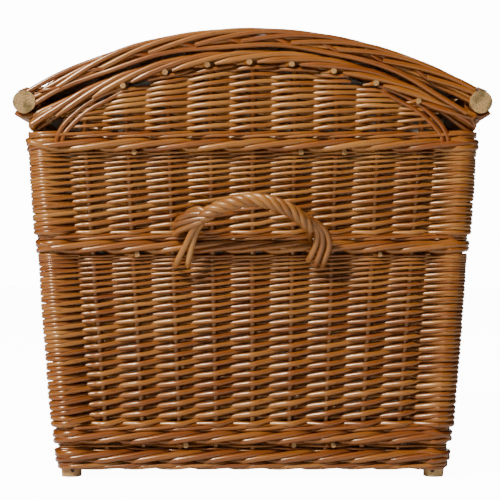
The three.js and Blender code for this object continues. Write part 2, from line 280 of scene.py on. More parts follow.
willow = willowPaint("varnishedWillow", willowLook)
stickWood = willowPaint("peeledStick", stickLook)
ropeWillow = willowPaint("twistedWillow", ropeLook)


# the cotton's tones are greyer and darker than white cloth: painted shade, so the lining seen through the
# weave's gaps stays dark
clothLook = {
    "threads": 260, "dimPatchScale": 9, "shades": [(0.3, (0.52, 0.50, 0.46)), (0.7, (0.66, 0.64, 0.60))],
    "relief": 0.3, "height": 0.3 * mm, "roughness": 0.92, "sheen": 0.25,
}
ironLook = {
    "rustScale": 700, "shades": [(0.35, (0.018, 0.014, 0.012)), (0.7, (0.07, 0.04, 0.025))],
    "relief": 0.4, "height": 0.2 * mm, "metal": 0.7, "roughness": 0.5,
}


def cottonPaint():
    paint, surface, node, link = nodeKit("whiteCotton")
    cloth = node("ShaderNodeUVMap", uv_map="UVMap")
    weave = node("ShaderNodeMath", operation="MULTIPLY")
    for socket, across in enumerate("XY"):
        count = {"Scale": clothLook["threads"]}
        threads = node("ShaderNodeTexWave", count, wave_type="BANDS", bands_direction=across)
        link(cloth, 0, threads, "Vector")
        link(threads, "Fac", weave, socket)
    # random patches between the two grey tones; how dark the tones are is painted shade
    dimPatches = node("ShaderNodeTexNoise", {"Scale": clothLook["dimPatchScale"]})
    link(node("ShaderNodeTexCoord"), "Object", dimPatches, "Vector")
    shades = rampOf(node, clothLook["shades"])
    link(dimPatches, "Fac", shades, 0)
    link(shades, 0, surface, "Base Color")
    relief = node("ShaderNodeBump", {"Strength": clothLook["relief"], "Distance": clothLook["height"]})
    link(weave, 0, relief, "Height")
    link(relief, 0, surface, "Normal")
    surface.inputs["Roughness"].default_value = clothLook["roughness"]
    surface.inputs["Sheen Weight"].default_value = clothLook["sheen"]
    return paint


def ironPaint():
    paint, surface, node, link = nodeKit("darkIron")
    rust = node("ShaderNodeTexNoise", {"Scale": ironLook["rustScale"]})
    link(node("ShaderNodeTexCoord"), "Object", rust, "Vector")
    shades = rampOf(node, ironLook["shades"])
    link(rust, "Fac", shades, 0)
    link(shades, 0, surface, "Base Color")
    dent = node("ShaderNodeBump", {"Strength": ironLook["relief"], "Distance": ironLook["height"]})
    link(rust, "Fac", dent, "Height")
    link(dent, 0, surface, "Normal")
    surface.inputs["Metallic"].default_value = ironLook["metal"]
    surface.inputs["Roughness"].default_value = ironLook["roughness"]
    return paint


cotton = cottonPaint()
iron = ironPaint()
print("willow, cotton and iron are mixed")

# rods


def rod(points, radii, tone, cutStart=False, cutEnd=False):
    points = [Vector(p) for p in points]
    if not hasattr(radii, "__len__"):
        radii = [radii] * len(points)
    return {"points": points, "radii": list(radii), "tone": tone, "cutStart": cutStart, "cutEnd": cutEnd}


def smoothLine(points, steps):
    # a smooth line through a few places
    points = [Vector(p) for p in points]
    padded = [points[0] * 2 - points[1], *points, points[-1] * 2 - points[-2]]
    line = []
    for i in range(len(points) - 1):
        a, b, c, d = padded[i:i + 4]
        for s in range(steps):
            t = s / steps
            square = (2 * a - 5 * b + 4 * c - d) * t * t
            cube = (3 * b - a - 3 * c + d) * t ** 3
            line.append(0.5 * (2 * b + (c - a) * t + square + cube))
    line.append(points[-1])
    return line


def tapered(line, first, last):
    count = max(1, len(line) - 1)
    return [first + (last - first) * i / count for i in range(len(line))]


def layRods(name, rods, paint, sides=8):
    # one mesh of round rods, with a tone, a grain and sawn ends marked on it
    sliver = 0.04 * mm
    curve = bpy.data.curves.new(name, "CURVE")
    curve.dimensions = "3D"
    curve.bevel_depth = 1.0
    curve.bevel_resolution = sides // 2 - 2
    tones, alongs, cuts, seeds, rings = [], [], [], [], []
    shuffler = random.Random(name)
    for laid in rods:
        points = list(laid["points"])
        radii = list(laid["radii"])
        cutMarks = [0.0] * len(points)
        if laid["cutStart"]:
            points.insert(1, points[0] + (points[1] - points[0]).normalized() * sliver)
            radii.insert(1, radii[0])
            cutMarks.insert(0, float(laid["cutStart"]))
        if laid["cutEnd"]:
            points.insert(-1, points[-1] + (points[-2] - points[-1]).normalized() * sliver)
            radii.insert(-1, radii[-1])
            cutMarks.append(float(laid["cutEnd"]))
        spline = curve.splines.new("POLY")
        spline.points.add(len(points) - 1)
        spline.points.foreach_set("co", [v for p in points for v in (*p, 1.0)])
        spline.points.foreach_set("radius", radii)
        lengths = np.cumsum([0.0] + [(b - a).length for a, b in zip(points, points[1:])])
        count = len(points)
        tones.append(np.full(count, laid["tone"]))
        alongs.append(lengths)
        cuts.append(np.array(cutMarks))
        seeds.append(np.full(count, shuffler.random() * 3))
        rings.append(np.array(radii))
    holder = bpy.data.objects.new(name, curve)
    bpy.context.scene.collection.objects.link(holder)
    scene = bpy.context.evaluated_depsgraph_get()
    mesh = bpy.data.meshes.new_from_object(holder.evaluated_get(scene))
    bpy.data.objects.remove(holder)
    bpy.data.curves.remove(curve)
    mesh.name = name
    perPoint = (tones, alongs, cuts, seeds, rings)
    tone, along, cut, seed, ring = [np.repeat(np.concatenate(values), sides) for values in perPoint]
    turn = np.tile(np.arange(sides) * (2 * math.pi / sides), len(tone) // sides)
    grain = np.stack([np.cos(turn) * ring + seed, np.sin(turn) * ring + seed, along + seed], axis=1)
    for label, kind, field, values in (("tone", "FLOAT", "value", tone), ("cutFace", "FLOAT", "value", cut),
                                       ("grain", "FLOAT_VECTOR", "vector", grain)):
        layer = mesh.attributes.new(label, kind, "POINT")
        layer.data.foreach_set(field, values.astype(np.float32).ravel())
    mesh.polygons.foreach_set("use_smooth", [True] * len(mesh.polygons))
    form = bmesh.new()
    form.from_mesh(mesh)
    openEdges = [edge for edge in form.edges if edge.is_boundary]
    caps = bmesh.ops.holes_fill(form, edges=openEdges, sides=sides)["faces"]
    for cap in caps:
        cap.smooth = False
        for edge in cap.edges:
            edge.smooth = False
    bmesh.ops.recalc_face_normals(form, faces=form.faces)
    form.to_mesh(mesh)
    form.free()
    mesh.materials.clear()
    mesh.materials.append(paint)
    piece = bpy.data.objects.new(name, mesh)
    bpy.context.scene.collection.objects.link(piece)
    return piece


def settle(piece, body, slotName, *nodes):
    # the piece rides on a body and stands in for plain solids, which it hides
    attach(piece, body)
    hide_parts(*nodes)
    return piece


# the chest's plan: stakes and posts round the walls, counted to the right as seen from outside

plan = {
    "endStakes": 9, "sideStakes": 13, "stakePitch": 40 * mm, "stakeInset": 9.8 * mm, "postInset": 16.5 * mm,
    "cornerSpan": 0.2, "stakeRadius": 2.8 * mm, "postRadius": 12 * mm, "sidingPostRadius": 14 * mm,
}
halfX = topHigh[0] - plan["stakeInset"]
halfY = topHigh[1] - plan["stakeInset"]
postX = topHigh[0] - plan["postInset"]
postY = topHigh[1] - plan["postInset"]
cornerRadius = halfX - postX


def makeStations():
    stations = []
    for turn in range(4):
        angle = math.radians(90 * turn - 90)
        count = plan["sideStakes" if turn % 2 else "endStakes"]
        out = Vector((round(math.cos(angle)), round(math.sin(angle))))
        right = Vector((-out.y, out.x))
        corner = Vector((postX * (out.x - right.x), postY * (out.y - right.y)))
        stations.append({"post": True, "centre": corner, "from": angle - math.pi / 2, "to": angle})
        face = Vector((halfX * out.x, halfY * out.y))
        for i in range(count):
            along = (i - (count - 1) / 2) * plan["stakePitch"]
            stations.append({"post": False, "place": face + right * along, "out": out})
    return stations


stations = makeStations()
stationCount = len(stations)


def leanIn(x, y, z):
    fall = max(0.0, rimZ - z)
    return x * (1 - leanX * fall), y * (1 - leanY * fall)


def planPlace(t):
    # the stakes' line at a place t, in stations, and the way out of the wall there
    near = round(t)
    station = stations[near % stationCount]
    span = plan["cornerSpan"]
    if station["post"] and abs(t - near) <= span + 1e-6:
        share = (t - near) / (2 * span) + 0.5
        angle = station["from"] + (station["to"] - station["from"]) * share
        out = Vector((math.cos(angle), math.sin(angle)))
        return station["centre"] + out * cornerRadius, out
    low = math.floor(t)
    ends = []
    for index, side in ((low, 1), (low + 1, -1)):
        station = stations[index % stationCount]
        if station["post"]:
            angle = station["to"] if side > 0 else station["from"]
            out = Vector((math.cos(angle), math.sin(angle)))
            ends.append((index + side * span, station["centre"] + out * cornerRadius, out))
        else:
            ends.append((index, station["place"], station["out"]))
    (t0, a, out), (t1, b) = ends[0], ends[1][:2]
    return a.lerp(b, (t - t0) / (t1 - t0)), out


def ringPoint(t, z, out):
    place, facing = planPlace(t)
    x, y = leanIn(place.x, place.y, z)
    return Vector((x + facing.x * out, y + facing.y * out, z))


def isPost(index):
    return stations[index % stationCount]["post"]


def interpolate(table, u, span):
    # a value from a table of (place, value) that repeats after span
    u = u % span
    for (a, low), (b, high) in zip(table, table[1:] + [(span, None)]):
        if u <= b:
            if high is None:
                high = table[0][1]
            return low + (high - low) * (u - a) / (b - a)
    return table[0][1]


# siding: each rod goes before one stake and behind the next, and climbs one level in two stakes

siding = {
    "rise": [(0, 0.0), (0.12, 0.07), (0.5, 0.37), (0.7, 0.5), (0.88, 0.54), (1.12, 0.54), (1.4, 0.66),
             (1.88, 0.95), (2, 1.0)],  # steps along, levels up
    "lower": {"levels": 23, "from": 51.4 * mm, "to": 215 * mm, "squeeze": 1.45, "thick": 2.85 * mm,
              "thin": 1.35 * mm, "tone": 0.0},
    "upper": {"levels": 13, "from": 235.6 * mm, "to": 314 * mm, "squeeze": 1.35, "thick": 2.25 * mm,
              "thin": 1.25 * mm, "tone": 0.3},
    "fill": 0.285, "crossing": 0.12, "wander": 0.2 * mm,
}


def riseAt(steps):
    level = math.floor(steps / 2)
    u = steps - 2 * level
    for (a, low), (b, high) in zip(siding["rise"], siding["rise"][1:]):
        if u <= b:
            return level + low + (high - low) * (u - a) / (b - a)
    return level + 1


def sidingRods(part, seed):
    rng = random.Random(seed)
    height = part["to"] - part["from"]
    levels = part["levels"]

    def levelZ(v):
        v = min(max(v, 0), levels)
        return part["from"] + height * (1 - (1 - v / levels) ** part["squeeze"])

    def pitchAt(v):
        v = min(max(v, 0), levels - 0.5)
        return height * part["squeeze"] / levels * (1 - v / levels) ** (part["squeeze"] - 1)

    rods = []
    for start in range(stationCount):
        line, radii = [], []
        girth = rng.uniform(0.93, 1.07)

        def put(t, steps, side, away=1.0):
            v = riseAt(steps)
            radius = min(max(siding["fill"] * pitchAt(v), part["thin"]), part["thick"]) * girth
            if away < 2:
                out = side * away * (plan["stakeRadius"] + radius)
            else:
                out = side * (plan["sidingPostRadius"] + radius - cornerRadius)
            jog = rng.gauss(0, siding["wander"])
            line.append(ringPoint(t, levelZ(v) + jog, out))
            radii.append(radius)

        for step in range(-1, 2 * levels):
            here = start + step
            side = 1 if step % 2 == 0 else -1
            if isPost(here):
                for away in (-0.2, -0.07, 0.07, 0.2):
                    put(here + away, step + away, 1, 2.0)
            else:
                shift = rng.gauss(0, 0.012)
                c = siding["crossing"]
                for away, share in ((-c, 0.92), (0, 1.0), (c, 0.92)):
                    put(here + away + shift, step + away, side, share)
            if isPost(here):
                put(here + 0.62, step + 0.6, -1 if side < 0 else 0, 0.8)
            elif isPost(here + 1):
                put(here + 0.38, step + 0.4, -1 if side > 0 else 0, 0.8)
            else:
                put(here + 0.5, step + 0.5, 0, 0)
        rods.append(rod(line, radii, rng.random() + part["tone"]))
    return rods


# wales: three rods, each before two stakes and behind one

wale = {
    "out": [(0, -1.0), (0.25, -0.7), (0.5, 0.1), (0.75, 0.85), (1, 1.15), (1.5, 1.3), (2, 1.05), (2.5, 0.3),
            (2.75, -0.5)],
    "rise": [(0, 0.3), (0.25, -0.6), (0.5, -1.1), (0.75, -1.0), (1, -0.72), (1.5, -0.1), (2, 0.45),
             (2.5, 0.85), (2.75, 0.9)],
    "points": 4,
}


def waleRods(z, radius, rng, lift=0.0, height=1.4):
    rods = []
    for start in range(3):
        line, radii = [], []
        girth = rng.uniform(0.94, 1.06)
        for step in range(stationCount * wale["points"] + 3):
            u = step / wale["points"]
            t = start + u
            near = round(t)
            r = radius * girth
            away = interpolate(wale["out"], u, 3)
            if isPost(near) and abs(t - near) < 0.45:
                out = plan["postRadius"] + r * 1.1 - cornerRadius
            else:
                out = away * (plan["stakeRadius"] + r) + lift
            rise = interpolate(wale["rise"], u, 3) * height * r
            line.append(ringPoint(t, z + rise + rng.gauss(0, 0.12 * mm), out))
            radii.append(r)
        rods.append(rod(line, radii, rng.random()))
    return rods


butt = {
    # steps back, mm down, mm out, share of the radius
    "stations": [(0.30, 0.3, -4, 0.6), (0.14, 0, -1.6, 0.85), (0.02, 0, 0.3, 1), (0, 0, 1.2, 1.05),
                 (0, 0, 1.9, 1.05)],
    "shade": 0.62, "missing": 0.6,
}


def buttRods(z, radius, rng):
    # sawn butts that stand out beside the stakes
    rods = []
    for index in range(stationCount):
        if isPost(index) or rng.random() < butt["missing"]:
            continue
        r = radius * rng.uniform(0.85, 1.1)
        t = index + 0.16 + rng.uniform(-0.06, 0.06)
        line = []
        radii = []
        for back, drop, out, girth in butt["stations"]:
            line.append(ringPoint(t - back, z - drop * mm, plan["stakeRadius"] + r + out * mm))
            radii.append(r * girth)
        rods.append(rod(line, radii, rng.uniform(0.5, 1), cutEnd=butt["shade"]))
    return rods


def levelRods(z, radius, rng, phase):
    # one plain row behind and before the stakes
    line, radii = [], []
    for step in range(stationCount * 4 + 1):
        t = step / 4
        near = round(t)
        out = math.cos(math.pi * (t + phase)) * (plan["stakeRadius"] + radius)
        if isPost(near) and abs(t - near) < 0.45:
            out = plan["postRadius"] + radius - cornerRadius
        line.append(ringPoint(t, z + rng.gauss(0, 0.2 * mm), out))
        radii.append(radius)
    return rod(line, radii, rng.random())


# heights and rod radii of each band, in millimetres; rows are plain packing rows, (height, radius)
bandsWoven = {
    "top": {"thinZ": 328.5, "thickZ": 319.5, "thin": 1.75, "thick": 3.15, "buttZ": 311.8},
    "middle": {"thinZ": 231.5, "thickZ": 222.8, "thin": 1.75, "thick": 3.1, "buttZ": 214.8},
    "bottom": {"thinZ": 48, "thickZ": 39.5, "thin": 1.8, "thick": 3.2, "buttZ": 31.4, "lowerZ": 20.6,
               "footZ": 11.8, "foot": 2.3, "rows": [(33.0, 1.35), (30.2, 1.35), (27.6, 1.35), (25.6, 1.35),
                                                    (18.0, 1.7), (16.2, 1.7), (14.4, 1.7), (12.4, 1.7)]},
    "proud": 0.8, "butt": 2.6,
}


def weaveBand(height, seed):
    rng = random.Random(seed)
    shape = bandsWoven[height]
    proud = bandsWoven["proud"] * mm
    rods = waleRods(shape["thinZ"] * mm, shape["thin"] * mm, rng)
    rods += waleRods(shape["thickZ"] * mm, shape["thick"] * mm, rng, proud)
    rods += buttRods(shape["buttZ"] * mm, bandsWoven["butt"] * mm, rng)
    if "rows" in shape:
        for i, (z, radius) in enumerate(shape["rows"]):
            rods.append(levelRods(z * mm, radius * mm, rng, i))
        rods += waleRods(shape["lowerZ"] * mm, shape["thick"] * mm, rng, proud)
        rods += waleRods(shape["footZ"] * mm, shape["foot"] * mm, rng, 0, 1.0)
    settle(layRods(height + "Band", rods, willow), "basket", "willow_weave", height + "_band")


for part, seed in (("lower", 11), ("upper", 23)):
    woven = layRods(part + "Siding", sidingRods(siding[part], seed), willow)
    walls = [f"{part}_siding_{wall}" for wall in ("near_end", "far_end", "front", "back")]
    settle(woven, "basket", "willow_weave", *walls)
print("the siding is woven")
weaveBand("top", 31)
weaveBand("middle", 37)
weaveBand("bottom", 41)
print("the bands are woven")

# stakes and corner posts

frameWood = {
    "stake": 2.8 * mm, "stakeFoot": 19 * mm, "post": 12.3 * mm, "postWander": 0.5 * mm, "postStep": 14 * mm,
    "footOut": 2.5 * mm, "footTurn": 60 * mm,
}
archCentreZ = 45.3 * mm
archInner = 350.7 * mm


def archHeight(x, radius=archInner):
    return archCentreZ + math.sqrt(max(radius * radius - x * x, 0))


def layPosts():
    names = {0: "front_near", 10: "back_near", 24: "back_far", 34: "front_far"}
    for index, place in names.items():
        rng = random.Random(index)
        centre = stations[index]["centre"]
        line, radii = [], []
        steps = round(rimZ / frameWood["postStep"])
        for i in range(steps + 1):
            z = (rimZ - 0.3 * mm) * i / steps
            x, y = leanIn(centre.x, centre.y, z)
            wander = frameWood["postWander"] if 0 < i < steps else 0
            flareOut = math.copysign(frameWood["footOut"] * max(0, 1 - z / frameWood["footTurn"]), x)
            line.append(Vector((x + flareOut + rng.gauss(0, wander), y + rng.gauss(0, wander), z)))
            girth = (1 - leanX * (rimZ - z)) * rng.uniform(0.95, 1.02) * (0.93 if i == 0 else 1)
            radii.append(frameWood["post"] * girth)
        wood = [rod(line, radii, rng.uniform(1.15, 1.4), True, True)]
        post = layRods("post" + place.title().replace("_", ""), wood, stickWood, 16)
        settle(post, "basket", "willow_sticks", "post_" + place)


layPosts()


def layStakes():
    rng = random.Random(5)
    walls = {"nearEndStakes": range(1, 10), "backStakes": range(11, 24), "farEndStakes": range(25, 34),
             "frontStakes": range(35, 48)}
    laid = {}
    for wall, indices in walls.items():
        rods = []
        for index in indices:
            radius = frameWood["stake"] * rng.uniform(0.92, 1.05)
            line = []
            for i in range(13):
                z = frameWood["stakeFoot"] + (rimZ - frameWood["stakeFoot"]) * i / 12
                shift = rng.gauss(0, 0.006)
                line.append(ringPoint(index + shift, z, 0))
            place = stations[index]["place"]
            top = archHeight(place.x) + 2 * mm if "End" in wall else rimZ + 4 * mm
            for share in (0.35, 0.7, 1.0):
                line.append(Vector((place.x + rng.gauss(0, 0.3 * mm), place.y, rimZ + (top - rimZ) * share)))
            rods.append(rod(line, radius, rng.uniform(0.35, 0.8), True, True))
        laid[wall] = rods
    return laid


stakeRods = layStakes()
for corner in ("front_near", "front_far", "back_near", "back_far"):
    for held in bpy.data.objects["foot_nail_" + corner].material_slots:
        held.material = iron
print("posts and stakes stand")

# gables: short rows that run out where the arch comes down

gable = {
    "rise": [(0, 0.02), (0.3, 0.16), (0.5, 0.33), (0.7, 0.3), (1, 0.0), (1.3, -0.3), (1.5, -0.33),
             (1.7, -0.12)],
    "rows": 9, "first": 4.2 * mm, "pitch": 7.05 * mm, "rodRadius": 2.35 * mm, "top": 63 * mm, "tone": 0.25,
    "over": 7.5 * mm, "under": 1.5 * mm,  # how far rows go over and end under the arch
}


def gableZ(x, row):
    height = archHeight(x) - rimZ
    z = gable["first"] + gable["pitch"] * row
    knee = 0.5 * height
    topRow = min(gable["top"], height + gable["over"])
    if z > knee:
        z = knee + (z - knee) * (height - gable["under"] - knee) / (topRow - knee)
    return rimZ + z


def endPoint(side, x, z, out):
    # a place on the near end (side -1) or the same place on the far end, seen from outside
    return Vector((-side * x, side * (halfY + out), z))


def gableRods(side, seed):
    rng = random.Random(seed)
    rods = []
    pitch = plan["stakePitch"]
    for row in range(gable["rows"]):
        z = gable["first"] + gable["pitch"] * row
        reach = 0
        while reach < 4 and archHeight((reach + 1) * pitch) - rimZ > z - gable["over"]:
            reach += 1
        for parity in (0, 1):
            # two rods to a row: one before the odd stakes, one before the even
            line, radii = [], []
            radius = gable["rodRadius"] * rng.uniform(0.9, 1.06) * (0.9 if row > 5 else 1)
            first = -reach - 0.55 + rng.uniform(0, 0.2)
            last = reach + rng.uniform(0.18, 0.5)
            t = first
            while t <= last + 1e-6:
                near = round(t)
                before = 1 if (near + parity + row) % 2 == 0 else -1
                away = math.cos(math.pi * (t - near))
                x = t * pitch
                rowSpace = gableZ(x, row + 0.5) - gableZ(x, row - 0.5)
                lift = interpolate(gable["rise"], t - parity - row, 2) * rowSpace
                thin = 1 - 0.3 * max(0, (abs(t) - 2.2) / 2)
                out = before * away * (plan["stakeRadius"] + radius * thin)
                line.append(endPoint(side, x, gableZ(x, row) + lift + rng.gauss(0, 0.2 * mm), out))
                radii.append(radius * thin)
                t += 0.25
            rods.append(rod(line, radii, rng.random() + gable["tone"], True, True))
    return rods


archBorder = {
    "rodRadius": 3.05 * mm, "low": 351.8 * mm, "high": 361.2 * mm, "length": 3.0, "face": 8.0 * mm,
    "endLift": 6 * mm, "liftFrom": 165 * mm, "liftOver": 41 * mm, "endAngle": 0.632,
    "backing": [(353.5, -2.6), (358.5, -4.0), (361.4, -1.2), (356, 1.6)],  # radius and how far out, mm
    "butt": [(12, 1.6, 3, 1.2), (5, 0.6, 5, 2.1), (0.6, 0, 7.4, 2.7), (0, 0, 8.6, 2.9), (0, 0, 9.4, 2.9)],
    "cornerButts": [(-205, 341), (-193.5, 341.5), (-190, 346.3)],
}


def archPoint(side, angle, radius, out):
    x = radius * math.sin(angle)
    lift = archBorder["endLift"] * max(0, (abs(x) - archBorder["liftFrom"]) / archBorder["liftOver"]) ** 2
    lift *= min(1, max(0, out / (3 * mm)))  # only the outer rods rise, clear of the lid's rows
    return endPoint(side, x, archCentreZ + radius * math.cos(angle) + lift, out)


def archBorderRods(side, seed):
    # the stakes turned down to the right along the arch, each over the next two
    rng = random.Random(seed)
    rods = []
    step = math.asin(plan["stakePitch"] / archBorder["low"])
    for start in range(-8, 5):
        radius = archBorder["rodRadius"] * rng.uniform(0.92, 1.05)
        begin = (start + 0.12 + rng.uniform(-0.04, 0.04)) * step
        line, radii = [], []
        for i in range(19):
            u = archBorder["length"] * i / 18
            angle = begin + u * step
            if abs(angle) > archBorder["endAngle"]:
                continue
            share = min(u / 1.75, 1)
            ring = archBorder["low"] + (archBorder["high"] - archBorder["low"]) * share ** 0.9
            tuck = max(0, u - 1.6) / (archBorder["length"] - 1.6)
            out = archBorder["face"] - 1.2 * mm * share - 5 * mm * tuck ** 1.6
            line.append(archPoint(side, angle, ring, out + rng.gauss(0, 0.1 * mm)))
            radii.append(radius * min(1, 0.45 + 1.8 * u))
        if len(line) > 3:
            rods.append(rod(line, radii, rng.random(), False, False))
        if -3 <= start <= 4:
            x = start * plan["stakePitch"] - 3 * mm
            z = archHeight(x) + 1.2 * mm
            line, radii = [], []
            for back, drop, out, girth in archBorder["butt"]:
                line.append(endPoint(side, x - back * mm, z - drop * mm, out * mm))
                radii.append(girth * mm)
            rods.append(rod(line, radii, rng.uniform(0.6, 1), False, butt["shade"]))
    # rods that back the border from inside
    for ring, out in archBorder["backing"]:
        line = []
        for i in range(41):
            angle = -0.625 + 1.25 * i / 40
            ringHere = ring * mm + math.sin(i * 0.9) * 0.8 * mm
            line.append(archPoint(side, angle, ringHere, out * mm + math.sin(i * 0.7) * 0.8 * mm))
        rods.append(rod(line, 2.7 * mm, rng.random(), True, True))
    # two rods inside the arch that turn down into the top band
    for turn in (-1, 1):
        for k, lead in enumerate((0, 5.5 * mm)):
            places = [
                (120 * mm, archHeight(120 * mm) - lead * 0.7),
                (142 * mm - lead, archHeight(142 * mm) - lead * 0.7),
                (158 * mm - lead, archHeight(158 * mm) - 1.5 * mm - lead * 0.6),
                (170 * mm - lead, 347 * mm - lead * 0.5), (179 * mm - lead, 337.5 * mm - lead * 0.4),
                (184.5 * mm - lead, rimZ - 4 * mm), (186.5 * mm - lead, rimZ - 12 * mm),
            ]
            line = smoothLine([endPoint(side, turn * x, z, (4.8 - k * 0.8) * mm) for x, z in places], 6)
            rods.append(rod(line, tapered(line, 2.0 * mm, 2.8 * mm), rng.uniform(0, 0.3)))
    # the border's ends turn round the corner posts
    for turn in (-1, 1):
        for k in range(2):
            drop = k * 4.6 * mm
            places = [
                (190 * mm, archHeight(190 * mm, 360.5 * mm) + 1.5 * mm - drop, 7 * mm),
                (201 * mm, 347.5 * mm - drop, 7 * mm),
                (208.5 * mm - drop * 0.4, 341.5 * mm - drop * 0.6, 5.5 * mm),
                (210.5 * mm - drop * 0.5, 336.5 * mm, 1 * mm), (207 * mm, 334.5 * mm, -5 * mm),
                (202 * mm, 335 * mm, -14 * mm),
            ]
            line = smoothLine([endPoint(side, turn * x, z, out) for x, z, out in places], 5)
            rods.append(rod(line, 2.6 * mm, rng.random()))
    for x, z in archBorder["cornerButts"]:
        line = [endPoint(side, x * mm, z * mm, -16 * mm), endPoint(side, x * mm, z * mm, 4.5 * mm)]
        rods.append(rod(line, 2.5 * mm, rng.uniform(0.2, 0.5), False, 0.5))
    return rods


for side, end in ((-1, "near"), (1, "far")):
    rows = layRods(end + "EndGable", gableRods(side, 51 + side), willow)
    settle(rows, "basket", "willow_weave", end + "_end_gable")
    border = stakeRods[end + "EndStakes"] + archBorderRods(side, 61 + side)
    comb = layRods(end + "EndStakesAndArch", border, willow)
    settle(comb, "basket", "willow_stakes", end + "_end_stakes_and_arch_border")
print("gables and arches are woven")

# front and back borders: a rolled edge over the side walls


def twist(route, strands, offset, radius, turns, rng, squash=1.0, phase=0.0, ends=True):
    # strands laid round a route like a rope
    rods = []
    lengths = [0.0]
    for a, b in zip(route, route[1:]):
        lengths.append(lengths[-1] + (b - a).length)
    for strand in range(strands):
        line, radii = [], []
        up = Vector((0, 0, 1))
        for i, centre in enumerate(route):
            along = (route[min(i + 1, len(route) - 1)] - route[max(i - 1, 0)]).normalized()
            if i == 0:
                up = along.orthogonal().normalized()
            across = along.cross(up).normalized()
            up = across.cross(along).normalized()
            angle = 2 * math.pi * (turns * lengths[i] / lengths[-1] + strand / strands) + phase
            line.append(centre + (across * math.cos(angle) * squash + up * math.sin(angle)) * offset)
            radii.append(radius * (1 + rng.gauss(0, 0.02)))
        rods.append(rod(line, radii, rng.random(), ends, ends))
    return rods


def sideBorderRods(side, rng):
    low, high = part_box("front_stakes_and_border")
    x = side * (topHigh[0] - 8.4 * mm)
    z = (rimZ + high[2]) / 2
    reach = high[1] - 2.5 * mm
    route = [Vector((x, -reach + 2 * reach * i / 240, z)) for i in range(241)]
    return twist(route, 4, 3.5 * mm, 2.55 * mm, side * 15, rng, 1.15)


for side, wall in ((-1, "front"), (1, "back")):
    rods = stakeRods[wall + "Stakes"] + sideBorderRods(side, random.Random(71 + side))
    comb = layRods(wall + "StakesAndBorder", rods, willow)
    settle(comb, "basket", "willow_stakes", wall + "_stakes_and_border")
print("side borders are rolled")

# base: rows across five lengthwise sticks

baseShape = {
    "sticks": 5, "stickPitch": 70 * mm, "rowPitch": 5.4 * mm, "rodRadius": 2.2 * mm, "wave": 2.4 * mm,
    "endInset": 2.5 * mm, "rowInset": 6 * mm,
}


def layBase():
    low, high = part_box("base_weave")
    rng = random.Random(81)
    rods = []
    rows = int((high[1] - low[1] - baseShape["rowInset"]) / baseShape["rowPitch"])
    middle = (low[2] + high[2]) / 2
    end = high[0] - baseShape["endInset"]
    for row in range(rows):
        y = (row - (rows - 1) / 2) * baseShape["rowPitch"]
        line = []
        for i in range(-20, 21):
            t = i / 8
            x = t * baseShape["stickPitch"]
            if abs(x) > end:
                continue
            wave = math.cos(math.pi * t) * (1 if row % 2 else -1)
            line.append(Vector((x, y + rng.gauss(0, 0.25 * mm), middle + wave * baseShape["wave"])))
        line = [Vector((-end, y, line[0].z)), *line, Vector((end, y, line[-1].z))]
        rods.append(rod(line, baseShape["rodRadius"] * rng.uniform(0.92, 1.05), rng.random(), True, True))
    settle(layRods("baseWeave", rods, willow), "basket", "willow_weave", "base_weave")
    for i in range(baseShape["sticks"]):
        low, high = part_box(f"base_stick_{i + 1}")
        x = (low[0] + high[0]) / 2
        z = (low[2] + high[2]) / 2
        radius = (high[2] - low[2]) / 2
        length = high[1] - low[1]
        line = [Vector((x + rng.gauss(0, 0.3 * mm), low[1] + length * k / 16, z)) for k in range(17)]
        radii = [radius * rng.uniform(0.93, 1) for spot in line]
        stick = layRods(f"baseStick{i + 1}", [rod(line, radii, rng.random(), True, True)], stickWood, 12)
        settle(stick, "basket", "willow_sticks", f"base_stick_{i + 1}")


layBase()
print("the base is woven")

# lid: rows over nine lengthwise stakes, each turned round the two thick sticks

vault = {
    "centreZ": 3 * mm, "middle": 420.4 * mm, "stakes": 419.2 * mm, "stakeRadius": 2.7 * mm,
    "rodRadius": 2.5 * mm, "rowPitch": 5.0 * mm, "wrapRadius": 13.2 * mm, "wrapFrom": 62, "wrapStep": 32,
    "stakeStep": math.radians(6.25), "notchAngle": math.radians(28.2), "notchGap": 2.2 * mm,
}
hingeEyes = [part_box(f"hinge_eye_{i}") for i in (1, 2, 3)]
notches = {
    1: [(low[1] - vault["notchGap"], high[1] + vault["notchGap"]) for low, high in hingeEyes],
    -1: [(-23.6 * mm, -12.4 * mm), (12.4 * mm, 23.6 * mm)],
}  # where no row is turned round a stick: at the hinge eyes and the lid loop's eyes


def vaultPoint(angle, radius, y):
    return Vector((radius * math.sin(angle), y, vault["centreZ"] + radius * math.cos(angle)))


def wrapPoints(side, y):
    # on over the stick, round it and up inside
    points = []
    for i in range(9):
        angle = math.radians(vault["wrapFrom"] + vault["wrapStep"] * i)
        x = stickX + vault["wrapRadius"] * math.cos(angle)
        points.append(Vector((side * x, y, stickZ + vault["wrapRadius"] * math.sin(angle))))
    return points


